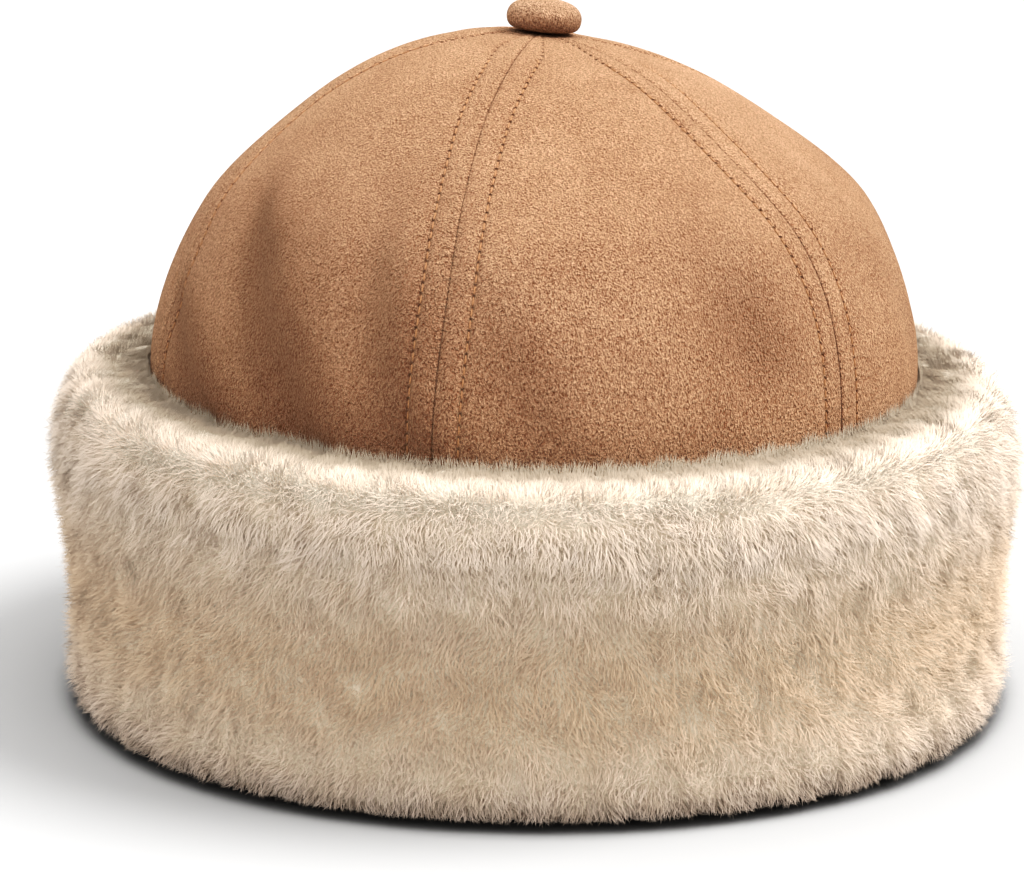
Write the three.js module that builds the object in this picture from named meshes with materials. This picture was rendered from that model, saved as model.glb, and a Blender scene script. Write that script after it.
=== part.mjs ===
// A faux shearling winter cap: a six-panel suede dome, a covered button on its crown and a deep
// turned-up cuff of plush pile. Millimetres, +Z up. The front faces -Y, and angles run from the
// front towards +X. The origin lies on the surface that the cap stands on, under its middle.

import * as THREE from 'three';

// Crown sizes
const CROWN_HALF_WIDTH = 94.5;
const CROWN_HALF_DEPTH = 97;
const CROWN_EDGE_Z = 3.2;
const EDGE_DRAW_IN = 2.5; // how much narrower the crown is at its lower edge
const SHOULDER_Z = 78; // where the upright wall turns into the dome
const APEX_Z = 160.2;
const TOP_TAPER = 0.05; // by how much the gores narrow the dome at most, high on its shoulder
const TAPER_FROM = 0.5; // where that narrowing begins and ends, by share of the dome's rise
const TAPER_TO = 1.1;
const TOP_TILT = Math.tan(THREE.MathUtils.degToRad(5.5)); // the top slopes down to the side
const SUEDE = 1.6;

// Seams: the panel edges turn under and are topstitched 6 mm from each seam. A seam that twists
// moves round by so many degrees between two climbs of the dome
const SEAMS = [
  { angle: -14, twist: 0 },
  { angle: 48, twist: -2.5 },
  { angle: 105, twist: 0 },
  { angle: 166, twist: 0 },
  { angle: 226, twist: 0 },
  { angle: 286.5, twist: -12 },
];
const TWIST_FROM = 0.2;
const TWIST_TO = 0.6;
const SEAM_GAP = 0.4;
const SEAM_PULL = 0.9; // how far a seam draws the dome in
const SEAM_PULL_REACH = 10;
const ALLOWANCE = 1.3; // thickness of the turned-under edge
const TOPSTITCH_OFFSET = 6;
const TIP_RADIUS = 2.6; // the eyelet that the panel tips leave round the button's post

// Relief across a panel, from its edge inwards
const EDGE_COLUMNS = [
  { inset: 0, rise: -0.7, allowance: 1 },
  { inset: 1.3, rise: 0.1, allowance: 1 },
  { inset: TOPSTITCH_OFFSET, rise: -0.3, allowance: 1 },
  { inset: TOPSTITCH_OFFSET + 1.4, rise: 0, allowance: 0 },
];
const FIELD_COLUMNS = 3;
const WALL_ROWS = 4;
const DOME_ROWS = 12;

// Sideways lean of the dome by share of its rise
const LEAN = [
  { share: 0, x: -0.5 },
  { share: 0.45, x: 0.5 },
  { share: 0.8, x: -0.3 },
  { share: 1, x: 1.1 },
];

// Soft dents in the cloth: where each is, how deep, how wide round the crown and how tall
const DENTS = [
  { angle: -48, z: 113, depth: 2, width: 7, height: 17 },
  { angle: -37, z: 92, depth: 2.2, width: 7, height: 16 },
  { angle: -27, z: 116, depth: 1.8, width: 5, height: 26 },
  { angle: -1, z: 96, depth: 1, width: 8, height: 14 },
  { angle: 31, z: 106, depth: 1.8, width: 7, height: 16 },
  { angle: 60, z: 110, depth: 1.4, width: 5, height: 16 },
  { angle: 72, z: 128, depth: 1.5, width: 6, height: 14 },
  { angle: 84, z: 108, depth: 1.3, width: 6, height: 18 },
  { angle: 140, z: 104, depth: 1.6, width: 9, height: 24 },
  { angle: 196, z: 110, depth: 1.8, width: 9, height: 22 },
  { angle: 252, z: 100, depth: 1.5, width: 8, height: 24 },
];

// Button sizes
const BUTTON_RADIUS = 9.2;
const BUTTON_HEIGHT = 7.7;
const BUTTON_CLEARANCE = 0.45;
const POST_RADIUS = 1.6;
const CLINCH_RADIUS = 4.6;
const CLINCH_THICKNESS = 1;

// Cuff sizes: reach is the fullest half-width of the backing below the crest, foot the same near
// the base, waist the drawn-in part between them, and crest the height of the rolled top edge
const CUFF_SECTIONS = [
  { angle: 0, reach: 120, waist: 117, foot: 118.5, crest: 75 },
  { angle: 45, reach: 119.5, waist: 116.5, foot: 120.5, crest: 75.5 },
  { angle: 90, reach: 118.5, waist: 114.5, foot: 116.5, crest: 77 },
  { angle: 135, reach: 119.5, waist: 116, foot: 118, crest: 79 },
  { angle: 180, reach: 121, waist: 118, foot: 118.5, crest: 80 },
  { angle: 225, reach: 119.5, waist: 116, foot: 117.5, crest: 80 },
  { angle: 270, reach: 118.5, waist: 113.5, foot: 115.5, crest: 79.5 },
  { angle: 315, reach: 119.5, waist: 116, foot: 119.5, crest: 77 },
];
const CUFF_GAP = 0.5; // between the crown's wall and the pile that lies against it
const FOOT_ROUND = 7;
const FOOT_Z = 10;
const WAIST_Z = 30;
const REACH_BELOW_CREST = 24;
const CREST_INSET = 13; // from the crown's wall out to the crest
const CREST_DROP = 12;
const INNER_WALL_Z = [42, 20];
const LIP_UNDER_CROWN = 5; // how far the band turns in below the crown's edge
const LIP_THICKNESS = 2.7;

// Locks of pile, a row for each ring of them. A tip is a place along the cuff's outline, from the
// foot at 0 to the inside of the crest at 1; the locks point down below the parting and up past it
const LOCK_ROWS = [
  { tip: 0.06, lay: -1 },
  { tip: 0.2, lay: -1 },
  { tip: 0.33, lay: -1 },
  { tip: 0.46, lay: -1 },
  { tip: 0.59, lay: -1 },
  { tip: 0.8, lay: 1 },
  { tip: 0.93, lay: 1 },
];
const PARTING = 0.69;
const LOCKS_ROUND = 36;
const COLUMNS_PER_LOCK = 4;
const LOCK_PROUD = 3; // how far a lock's tip stands off the ground of the pile
const SCALLOP = 0.08; // how far back the notch between two tips reaches along the outline
const PAST_TIP = 0.012; // how soon the pile falls back to its ground past a tip
const TIP_SWAY = 0.2; // how far a tip falls to either side, by its lock's width

const SUEDE_LOOK = { color: 0xc7936b, roughness: 0.92, metalness: 0 };
const PILE_LOOK = { color: 0xddd0b8, roughness: 1, metalness: 0 };

const { degToRad, lerp, clamp } = THREE.MathUtils;

// A smooth closed run of a column of a table whose rows are evenly spaced round the cap.
function roundTheCap(rows, column, angle) {
  const place = ((((angle / 360) % 1) + 1) % 1) * rows.length;
  const at = Math.floor(place);
  const value = (k) => rows[(at + k + rows.length) % rows.length][column];
  const t = place - at;
  const slopeIn = (value(1) - value(-1)) / 2;
  const slopeOut = (value(2) - value(0)) / 2;
  const t2 = t * t;
  const t3 = t2 * t;
  return (
    (2 * t3 - 3 * t2 + 1) * value(0) +
    (t3 - 2 * t2 + t) * slopeIn +
    (3 * t2 - 2 * t3) * value(1) +
    (t3 - t2) * slopeOut
  );
}

// The shortest turn between two angles, in degrees.
function turnBetween(a, b) {
  return Math.abs(((((a - b) % 360) + 540) % 360) - 180);
}

function leanAt(share) {
  const upper = Math.max(1, LEAN.findIndex((row) => row.share >= share));
  const [a, b] = [LEAN[upper - 1], LEAN[upper]];
  return lerp(a.x, b.x, THREE.MathUtils.smoothstep(share, a.share, b.share));
}

function seamAngle(seam, climb) {
  return seam.angle + seam.twist * THREE.MathUtils.smoothstep(climb, TWIST_FROM, TWIST_TO);
}

// How far the cloth lies inside the plain dome: its seams draw it in and its dents lie deeper.
function drawnIn(angle, climb, z, radius) {
  const turns = SEAMS.map((seam) => turnBetween(angle, seamAngle(seam, climb)));
  const nearest = Math.min(...turns);
  const fromSeam = degToRad(nearest) * radius;
  const rising = clamp((z - SHOULDER_Z * 0.6) / SHOULDER_Z, 0, 1);
  let inset = SEAM_PULL * rising * Math.exp(-((fromSeam / SEAM_PULL_REACH) ** 2));
  for (const dent of DENTS) {
    const across = turnBetween(angle, dent.angle) / dent.width;
    const up = (z - dent.z) / dent.height;
    inset += dent.depth * Math.exp(-(across ** 2) - up ** 2);
  }
  return inset;
}

// The dome's half-width at a climb, as a share of its greatest.
function domeShare(climb) {
  const phi = (Math.max(climb, 0) * Math.PI) / 2;
  const past = clamp((Math.sin(phi) - TAPER_FROM) / (TAPER_TO - TAPER_FROM), 0, 1);
  return Math.cos(phi) * (1 - TOP_TAPER * Math.sin(past * Math.PI) ** 2);
}

// A point of the crown's outer face. climb runs from -1 at the lower edge to 0 at the shoulder
// and 1 at the apex.
function crownPoint(angle, climb) {
  const rise = Math.sin((Math.max(climb, 0) * Math.PI) / 2);
  const z =
    climb < 0 ? lerp(SHOULDER_Z, CROWN_EDGE_Z, -climb) : lerp(SHOULDER_Z, APEX_Z, rise);
  const share = domeShare(climb);
  const drawIn = climb < 0 ? EDGE_DRAW_IN * climb * climb : 0;
  const cloth = drawnIn(angle, climb, z, share * CROWN_HALF_WIDTH);
  const inset = cloth * Math.min(1, 2 * share) + drawIn;
  const turn = degToRad(angle);
  const half = (size) => Math.max(share * size - inset, 0);
  const aside = half(CROWN_HALF_WIDTH) * Math.sin(turn);
  return new THREE.Vector3(
    aside + leanAt(rise),
    -half(CROWN_HALF_DEPTH) * Math.cos(turn),
    z - aside * TOP_TILT * rise ** 6,
  );
}

function crownNormal(angle, climb) {
  const step = 0.02;
  const round = crownPoint(angle + 1, climb).sub(crownPoint(angle - 1, climb));
  const upTo = Math.min(climb + step, 1);
  const up = crownPoint(angle, upTo).sub(crownPoint(angle, upTo - 2 * step));
  return round.cross(up).normalize();
}

// The distance from the crown's axis to its wall at an angle, below the shoulder.
function wallReach(angle, z) {
  const climb = clamp((z - SHOULDER_Z) / (SHOULDER_Z - CROWN_EDGE_Z), -1, 0);
  const point = crownPoint(angle, climb);
  return Math.hypot(point.x, point.y);
}

// A closed mesh from a grid of points on each face of a wall: grid[row][column].
function wallGeometry(outer, inner) {
  const [rows, columns] = [outer.length, outer[0].length];
  const positions = [...outer.flat(), ...inner.flat()].flatMap((p) => [p.x, p.y, p.z]);
  const out = (row, column) => row * columns + column;
  const inn = (row, column) => rows * columns + out(row, column);
  const index = [];
  const quad = (a, b, c, d) => index.push(a, b, c, a, c, d);
  for (let row = 0; row < rows - 1; row++) {
    for (let column = 0; column < columns - 1; column++) {
      const [r, c] = [row + 1, column + 1];
      quad(out(row, column), out(row, c), out(r, c), out(r, column));
      quad(inn(row, column), inn(r, column), inn(r, c), inn(row, c));
    }
    const last = columns - 1;
    quad(out(row, 0), out(row + 1, 0), inn(row + 1, 0), inn(row, 0));
    quad(out(row, last), inn(row, last), inn(row + 1, last), out(row + 1, last));
  }
  for (let column = 0; column < columns - 1; column++) {
    const last = rows - 1;
    quad(out(0, column), inn(0, column), inn(0, column + 1), out(0, column + 1));
    quad(out(last, column), out(last, column + 1), inn(last, column + 1), inn(last, column));
  }
  const geometry = new THREE.BufferGeometry();
  geometry.setAttribute('position', new THREE.Float32BufferAttribute(positions, 3));
  geometry.setIndex(index);
  geometry.computeVertexNormals();
  return geometry;
}

// The climb at which the dome has narrowed to the eyelet round the button's post.
function climbAtTip() {
  let [low, high] = [0.5, 1];
  for (let pass = 0; pass < 40; pass++) {
    const middle = (low + high) / 2;
    if (domeShare(middle) * CROWN_HALF_WIDTH > TIP_RADIUS) low = middle;
    else high = middle;
  }
  return low;
}

// The columns of a panel at one level: where each lies, its relief and its extra thickness.
function panelColumns(width) {
  const fit = Math.min(1, width / 2 / (TOPSTITCH_OFFSET + 3));
  const left = EDGE_COLUMNS.map((c) => ({ ...c, at: c.inset * fit, rise: c.rise * fit }));
  const right = left.map((c) => ({ ...c, at: width - c.at })).reverse();
  const from = left.at(-1).at;
  const field = Array.from({ length: FIELD_COLUMNS }, (_, k) => ({
    at: lerp(from, width - from, (k + 1) / (FIELD_COLUMNS + 1)),
    rise: 0,
    allowance: 0,
  }));
  return [...left, ...field, ...right];
}

function panelGeometry(startSeam, endSeam) {
  const tip = climbAtTip();
  const climbs = [];
  for (let k = 0; k < WALL_ROWS; k++) climbs.push(-1 + k / WALL_ROWS);
  for (let k = 0; k <= DOME_ROWS; k++) climbs.push((tip * k) / DOME_ROWS);
  const outer = [];
  const inner = [];
  for (const climb of climbs) {
    const start = seamAngle(startSeam, climb);
    const sweep = (seamAngle(endSeam, climb) - start + 360) % 360;
    const edge = crownPoint(start, climb);
    const centre = leanAt(Math.sin((Math.max(climb, 0) * Math.PI) / 2));
    const radius = Math.hypot(edge.x - centre, edge.y);
    const width = radius * degToRad(sweep) - SEAM_GAP;
    const columns = panelColumns(width);
    const rowOut = [];
    const rowIn = [];
    for (const column of columns) {
      const angle = start + THREE.MathUtils.radToDeg((column.at + SEAM_GAP / 2) / radius);
      const normal = crownNormal(angle, climb);
      const face = crownPoint(angle, climb);
      const wall = SUEDE + column.allowance * ALLOWANCE;
      rowOut.push(face.clone().addScaledVector(normal, column.rise));
      rowIn.push(face.clone().addScaledVector(normal, -wall));
    }
    outer.push(rowOut);
    inner.push(rowIn);
  }
  return wallGeometry(outer, inner);
}

function buttonGeometry() {
  const under = BUTTON_CLEARANCE;
  const top = under + BUTTON_HEIGHT;
  const clinchTop = -(SUEDE + ALLOWANCE + 1);
  const outline = new THREE.Path();
  outline.moveTo(0, clinchTop - CLINCH_THICKNESS);
  outline.lineTo(CLINCH_RADIUS, clinchTop - CLINCH_THICKNESS);
  outline.lineTo(CLINCH_RADIUS, clinchTop);
  outline.lineTo(POST_RADIUS, clinchTop);
  outline.lineTo(POST_RADIUS, under);
  outline.lineTo(BUTTON_RADIUS - 2.4, under);
  outline.quadraticCurveTo(BUTTON_RADIUS - 0.3, under, BUTTON_RADIUS, under + 2.6);
  outline.bezierCurveTo(BUTTON_RADIUS, top - 1.6, BUTTON_RADIUS * 0.7, top, 0, top);
  const points = outline.getPoints(5);
  points.at(-1).x = 0;
  const geometry = new THREE.LatheGeometry(points, 20);
  geometry.rotateX(Math.PI / 2);
  return geometry;
}

// Half of the cuff's section that shows, from the base round the outside to the crown's wall.
function pileOutline(angle) {
  const reach = roundTheCap(CUFF_SECTIONS, 'reach', angle);
  const waist = roundTheCap(CUFF_SECTIONS, 'waist', angle);
  const foot = roundTheCap(CUFF_SECTIONS, 'foot', angle);
  const crest = roundTheCap(CUFF_SECTIONS, 'crest', angle);
  const wall = wallReach(angle, crest) + CUFF_GAP;
  const fullest = crest - REACH_BELOW_CREST;
  const outline = new THREE.Path();
  outline.moveTo(foot - FOOT_ROUND, 0);
  outline.quadraticCurveTo(foot, 0, foot, FOOT_Z);
  outline.quadraticCurveTo(waist - 0.5, WAIST_Z, reach, fullest);
  outline.quadraticCurveTo(reach, crest, wall + CREST_INSET, crest);
  outline.quadraticCurveTo(wall, crest, wall, crest - CREST_DROP);
  return outline;
}

// The rings of the pile's mesh from the foot up. Each row of locks has a ring along its tips and
// one just past them, where the pile is back at its ground.
function pileRings() {
  const rings = [{ place: 0, relief: 0 }];
  LOCK_ROWS.forEach((row, k) => {
    const [tips, past] = [{ row, k, past: 0 }, { row, k, past: PAST_TIP }];
    if (row.lay > 0 && LOCK_ROWS[k - 1].lay < 0) rings.push({ place: PARTING, relief: 1.5 });
    rings.push(...(row.lay < 0 ? [past, tips] : [tips, past]));
  });
  rings.push({ place: 0.985, relief: 0 }, { place: 1, relief: 0 });
  return rings;
}

// Where a vertex of a ring lies: its angle, its place along the outline and its relief.
function onRing(ring, column) {
  const lockAngle = 360 / LOCKS_ROUND;
  const angle = (column / COLUMNS_PER_LOCK) * lockAngle;
  if (!ring.row) return { angle, along: ring.place, relief: ring.relief };
  const turned = column / COLUMNS_PER_LOCK + (ring.k % 2) / 2;
  const lock = Math.round(turned) % LOCKS_ROUND;
  const across = Math.abs(turned - Math.round(turned)) * 2;
  const fullness = 1 - across ** 1.4;
  const size = 0.84 + 0.16 * Math.sin(lock * 2.4 + ring.k * 1.7);
  const sway = TIP_SWAY * Math.sin(lock * 1.3 + ring.k * 2.9) * fullness;
  const reach = -SCALLOP * (1 - fullness * size) + ring.past;
  return {
    angle: angle + sway * lockAngle,
    along: ring.row.tip + ring.row.lay * reach,
    relief: ring.past ? 0 : LOCK_PROUD * size * (0.3 + 0.7 * fullness),
  };
}

// The cuff's section at one column of its mesh, as points of the solid.
function cuffColumn(column, rings) {
  const points = rings.map((ring) => {
    const { angle, along, relief } = onRing(ring, column);
    const outline = pileOutline(angle);
    const point = outline.getPointAt(along);
    const tangent = outline.getTangentAt(along);
    const z = Math.max(point.y - tangent.x * relief, 0);
    const clear = wallReach(angle, z) + CUFF_GAP;
    return onCuff(angle, new THREE.Vector2(Math.max(point.x + tangent.y * relief, clear), z));
  });
  const angle = (column * 360) / (LOCKS_ROUND * COLUMNS_PER_LOCK);
  for (const z of [...INNER_WALL_Z, LIP_THICKNESS]) {
    points.push(onCuff(angle, new THREE.Vector2(wallReach(angle, z) + CUFF_GAP, z)));
  }
  const lip = wallReach(angle, LIP_THICKNESS) + CUFF_GAP - LIP_UNDER_CROWN;
  points.push(onCuff(angle, new THREE.Vector2(lip, LIP_THICKNESS)));
  points.push(onCuff(angle, new THREE.Vector2(lip, 0)));
  return points;
}

function onCuff(angle, point) {
  const turn = degToRad(angle);
  return new THREE.Vector3(point.x * Math.sin(turn), -point.x * Math.cos(turn), point.y);
}

function cuffGeometry() {
  const rings = pileRings();
  const steps = LOCKS_ROUND * COLUMNS_PER_LOCK;
  const columns = Array.from({ length: steps }, (_, k) => cuffColumn(k, rings));
  const count = columns[0].length;
  const positions = columns.flat().flatMap((p) => [p.x, p.y, p.z]);
  const index = [];
  for (let step = 0; step < steps; step++) {
    const next = (step + 1) % steps;
    for (let k = 0; k < count; k++) {
      const after = (k + 1) % count;
      const [a, b] = [step * count + k, next * count + k];
      const [c, d] = [next * count + after, step * count + after];
      index.push(a, b, c, a, c, d);
    }
  }
  const geometry = new THREE.BufferGeometry();
  geometry.setAttribute('position', new THREE.Float32BufferAttribute(positions, 3));
  geometry.setIndex(index);
  geometry.computeVertexNormals();
  return geometry;
}

function piece(name, geometry, look) {
  const mesh = new THREE.Mesh(geometry, new THREE.MeshStandardMaterial(look));
  mesh.name = name;
  return mesh;
}

const pieces = new THREE.Group();
SEAMS.forEach((seam, k) => {
  const panel = panelGeometry(seam, SEAMS[(k + 1) % SEAMS.length]);
  pieces.add(piece(`crown_panel_${k + 1}`, panel, SUEDE_LOOK));
});
const button = piece('top_button', buttonGeometry(), SUEDE_LOOK);
button.position.set(leanAt(1), 0, APEX_Z);
button.rotation.y = Math.atan(TOP_TILT);
pieces.add(button);
pieces.add(piece('fur_cuff', cuffGeometry(), PILE_LOOK));

const middle = new THREE.Box3().setFromObject(pieces, true).getCenter(new THREE.Vector3());
pieces.position.set(-middle.x, -middle.y, 0);
const cap = new THREE.Group();
cap.add(pieces);

export default cap;
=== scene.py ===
# A faux shearling cap: a crown of six topstitched suede panels, a covered button on top, and a
# deep turned-up cuff of plush pile. Sizes are in millimetres and angles in degrees, from the
# front towards +X, until a mesh is made.
import math

import bmesh
import bpy
import numpy as np
from mathutils import Matrix, Vector


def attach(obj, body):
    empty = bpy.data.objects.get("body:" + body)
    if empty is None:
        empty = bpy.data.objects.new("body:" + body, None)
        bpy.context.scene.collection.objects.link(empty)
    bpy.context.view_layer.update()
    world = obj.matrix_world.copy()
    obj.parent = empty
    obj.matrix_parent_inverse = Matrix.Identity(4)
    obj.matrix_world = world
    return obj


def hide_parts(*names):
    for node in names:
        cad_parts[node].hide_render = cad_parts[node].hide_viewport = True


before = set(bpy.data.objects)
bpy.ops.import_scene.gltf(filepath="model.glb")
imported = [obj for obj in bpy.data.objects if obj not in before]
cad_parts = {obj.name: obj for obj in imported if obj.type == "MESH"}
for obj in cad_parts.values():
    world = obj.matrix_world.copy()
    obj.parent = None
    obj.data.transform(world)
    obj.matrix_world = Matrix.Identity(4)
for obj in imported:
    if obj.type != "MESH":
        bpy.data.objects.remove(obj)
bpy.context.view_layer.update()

MM = 0.001
RANDOM_SEED = 11

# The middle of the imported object, from the axis of its crown
CENTRE_SHIFT = np.array([0.3, -0.35, 0.0])

# Crown sizes, as in the solids
CROWN_HALF_WIDTH = 94.5
CROWN_HALF_DEPTH = 97.0
CROWN_EDGE_Z = 3.2
EDGE_DRAW_IN = 2.5
SHOULDER_Z = 78.0
APEX_Z = 160.2
TOP_TAPER = 0.05
TAPER_FROM = 0.5
TAPER_TO = 1.1
TOP_TILT = math.tan(math.radians(5.5))
TOP_TILT_POWER = 6
SUEDE = 1.6

# Seams: where each lies at the shoulder and by how much it moves round above it
SEAMS = [(-14, 0), (48, -2.5), (105, 0), (166, 0), (226, 0), (286.5, -12)]
TWIST_FROM = 0.2
TWIST_TO = 0.6
SEAM_GAP = 0.03
SEAM_PULL = 0.9
SEAM_PULL_REACH = 10.0
SEAM_PULL_FROM = 0.6
TOPSTITCH_OFFSET = 6.0
TIP_RADIUS = 2.6

# The dome's sideways lean: share of its rise, and how far
LEAN = [(0, -0.5), (0.45, 0.5), (0.8, -0.3), (1, 1.1)]

# Soft dents in the cloth: angle, height, depth, width round the crown, and how tall
DENTS = [
    (-48, 113, 2.0, 7, 17),
    (-37, 92, 2.2, 7, 16),
    (-27, 116, 1.8, 5, 26),
    (-1, 96, 1.0, 8, 14),
    (31, 106, 1.8, 7, 16),
    (60, 110, 1.4, 5, 16),
    (72, 128, 1.5, 6, 14),
    (84, 108, 1.3, 6, 18),
    (140, 104, 1.6, 9, 24),
    (196, 110, 1.8, 9, 22),
    (252, 100, 1.5, 8, 24),
]

# Folds where the cloth steps in, each with a valley on its left and a ridge on its right:
# angle and height of its upper end, of its lower end, its rise and its half width
FOLDS = [
    (-53, 122, -31.5, 80, 1.5, 7.0),
    (-65, 98, -52, 80, 0.9, 7.0),
    (-28, 130, -17.5, 83, 0.6, 5.5),
    (-18.5, 128, -16, 105, 0.3, 5.0),
    (-15, 133, 1, 86, 0.35, 7.0),
    (28, 122, 33, 100, 0.4, 8.0),
    (62, 140, 76, 92, 0.3, 5.0),
    (92, 130, 100, 86, 0.5, 7.0),
    (140, 132, 128, 86, 1.0, 7.0),
    (190, 128, 204, 84, 1.1, 7.0),
    (240, 134, 250, 88, 0.9, 6.0),
]
FOLD_END = 16.0

# Painted shade along the folds, on their steep flanks, and how much of it is lost from one height to
# another
FOLD_SHADE_WIDTH = 1.5
FOLD_SHADE_LOSS = 0.6
FOLD_SHADE_FADES_Z = (95, 128)

# Painted shade at the foot of the dome, most on its left, and over the lower crown, leaving the
# top lighter, and the heights from which and up to which each fades
FOOT_SHADE = 0.06
FOOT_SHADE_LEFTWARD = 0.16
FOOT_SHADE_FADES_Z = (80, 96)
LOWER_SHADE = 0.17
LOWER_SHADE_FADES_Z = (108, 148)

# Patches of painted shade, most on the crown's left: angle and height of each, its width, height and
# depth
PAINTED_SHADE_PATCHES = [
    (-42, 112, 24, 36, 0.36),
    (-64, 86, 12, 15, 0.34),
    (-30, 80, 16, 10, 0.25),
    (32, 106, 9, 14, 0.2),
]

# Relief of the cloth beside a seam: how far from the seam, and how high
SEAM_RELIEF = [
    (0, -0.34),
    (0.25, -0.18),
    (0.6, -0.05),
    (1.1, 0.04),
    (2.0, 0.26),
    (3.6, 0.34),
    (5.0, 0.2),
    (5.6, -0.16),
    (6.0, -0.42),
    (6.4, -0.26),
    (7.2, -0.04),
    (9.0, 0.02),
    (11.5, 0.0),
]
EDGE_STEPS = [0, 0.2, 0.45, 0.8, 1.3, 2, 3, 4, 5, 5.5, 5.8, 6.05, 6.35, 6.8, 7.5, 8.5, 10, 11.5]
EDGE_ROOM = EDGE_STEPS[-1] + 1.5
RELIEF_FADE = 1.3
FIELD_STEPS = 30
WALL_STEPS = 14
DOME_STEPS = 84

# Topstitching
STITCH_PITCH = 2.6
STITCH_LENGTH = 1.95
STITCH_TAPER = 0.7
THREAD_RADIUS = 0.19
STITCH_FROM_Z = 66.0
STITCH_FROM_CLIMB = -0.2
STITCH_SUNK = 0.2
STITCH_END_ROOM = 3.0
NARROWEST_PANEL = 50.0

# Button sizes
BUTTON_RADIUS = 9.2
BUTTON_HEIGHT = 7.7
BUTTON_CLEARANCE = 0.45
POST_RADIUS = 1.6
POST_SHOWN = 1.2

# Cuff sizes round the cap: angle, reach, waist, foot and crest
CUFF_SECTIONS = [
    (0, 120, 117, 118.5, 75),
    (45, 119.5, 116.5, 120.5, 75.5),
    (90, 118.5, 114.5, 116.5, 77),
    (135, 119.5, 116, 118, 79),
    (180, 121, 118, 118.5, 80),
    (225, 119.5, 116, 117.5, 80),
    (270, 118.5, 113.5, 115.5, 79.5),
    (315, 119.5, 116, 119.5, 77),
]
CUFF_GAP = 0.5
MEAN_REACH = 118.0
FOOT_ROUND = 7.0
FOOT_Z = 10.0
WAIST_Z = 30.0
WAIST_PULL = 0.5
REACH_BELOW_CREST = 24.0
CREST_INSET = 13.0
CREST_DROP = 12.0
LIP_UNDER_CROWN = 5.0
LIP_THICKNESS = 2.7
INNER_ROWS_Z = (42.0, 20.0, LIP_THICKNESS)
OUTLINE_LENGTH = 104.0

# Pile: how deep its ground lies along the outline, 0 at the foot and 1 at the crown
GROUND_RUN = [(0, 1.2), (0.08, 1.6), (0.6, 1.2), (0.73, 0.8), (0.8, 0.4), (0.9, 0.4), (1, 0)]
GROUND_LUMPS = 0.4
GROUND_LUMPS_APART = 11
GROUND_LUMPS_FADE = 0.1
WAVE_COUNT = 9
SHELF_DROP = 0.3
SHELF_FROM = 0.8
SHELF_SUNK_MOST = 0.5
GROUND_COLUMNS = 240
GROUND_ROWS = 72

# Place along the outline, length of the strands, their lay up the outline, and how upright
PILE_RUN = [
    (0.0, 3.2, -0.5, 0.0),
    (0.06, 4.0, -0.55, 0.0),
    (0.14, 4.6, -0.5, 0.0),
    (0.3, 4.8, -0.45, 0.0),
    (0.55, 5.0, -0.6, 0.0),
    (0.66, 5.8, -1.0, 0.0),
    (0.72, 4.4, -0.7, 0.0),
    (0.77, 3.0, 0.0, 0.0),
    (0.82, 3.0, 0.7, 0.1),
    (0.9, 3.0, 0.9, 0.3),
    (0.96, 2.9, 0.7, 0.75),
    (1.0, 3.9, 0.4, 1.0),
]
STRAND_ROWS_SPREAD = [(0.03, 0), (0.12, 0.09), (0.6, 0.5), (0.75, 0.67), (0.93, 0.94), (1, 1)]
PILE_PIECES = 4
FLOOR_CLEARANCE = 1.6
CROWN_CLEARANCE = 0.35
STRANDS_ROUND = 1480
STRANDS_UP = 164
STRAND_WIDTH = 0.17
ROOT_DEPTH = 0.4

# How a strand's two halves stand and lie, and how much less upright strands sway and gather
LOWER_LAY = 0.6
UPPER_LAY = 1.1
UPPER_STAND = 0.7
UPRIGHT_SWAY_LOSS = 0.6
UPRIGHT_TUFT_LOSS = 0.7

# Unevenness of the pile: the strength and reach of each kind of wave, how far single strands
# differ, and where along the outline their shades even out
LAY_WAVES = [(0.2, 13)]
LAY_SPREAD = 0.34
SWAY_WAVES = [(0.2, 30), (0.25, 11)]
SWAY_SPREAD = 0.36
LENGTH_WAVES = [(0.18, 10)]
LENGTH_RANGE = (0.75, 1.15)
WIDTH_RANGE = (0.75, 1.2)
SHADE_WAVES = [(0.9, 7), (0.6, 18)]
SHADE_SPREAD = 0.4
SHADE_EVENED = 0.8
SHADE_EVENED_OVER = (0.6, 0.76)

# Which way a strand's flat side faces: upwards, outwards at the crest, and a little at random
FACE_UP = 0.4
FACE_OUT_OVER = (0.78, 0.92)
FACE_SPREAD = 0.15

# How the pile takes the light: its normal leans upwards, towards each strand's face and at random
LIT_UP = 0.25
LIT_BY_FACE = 0.15
LIT_SPREAD = 0.04

# Tufts: how wide each kind is, and how far it draws in the middles and the tips of its strands
TUFTS = [(1.7, 0.06, 0.2), (5.0, 0.05, 0.24)]

# A strand's five points: share of its width to either side, and share of its length
STRAND_ACROSS = [-0.5, 0.5, -0.42, 0.42, 0]
STRAND_ALONG = [0, 0, 0.55, 0.55, 1.0]
STRAND_CORNERS = np.array([[0, 3, 1], [0, 2, 3], [2, 4, 3]])

# Colours, in everyday values from 0 to 255
SUEDE_DARK = (126, 70, 34)
SUEDE_LIGHT = (255, 207, 170)
# The dark brown that the suede's painted shade mixes towards
SUEDE_PAINTED_SHADE = (94, 46, 17)
SUEDE_SHEEN = (255, 216, 176)
BUTTON_DARK = (132, 90, 64)
BUTTON_LIGHT = (255, 208, 173)
# Painted shade on the button's underside
BUTTON_PAINTED_UNDERSIDE_SHADE = (112, 70, 46)
BUTTON_SHEEN = (240, 205, 170)
THREAD_DARK = (152, 104, 66)
THREAD_LIGHT = (208, 158, 114)
THREAD_SHEEN = (240, 210, 170)
PILE_ROOT = (239, 214, 190)
PILE_TIP = (246, 230, 215)
# Painted shade at the pile's crest, which offsets the light from above
PILE_PAINTED_CREST_SHADE = (164, 151, 134)
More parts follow.
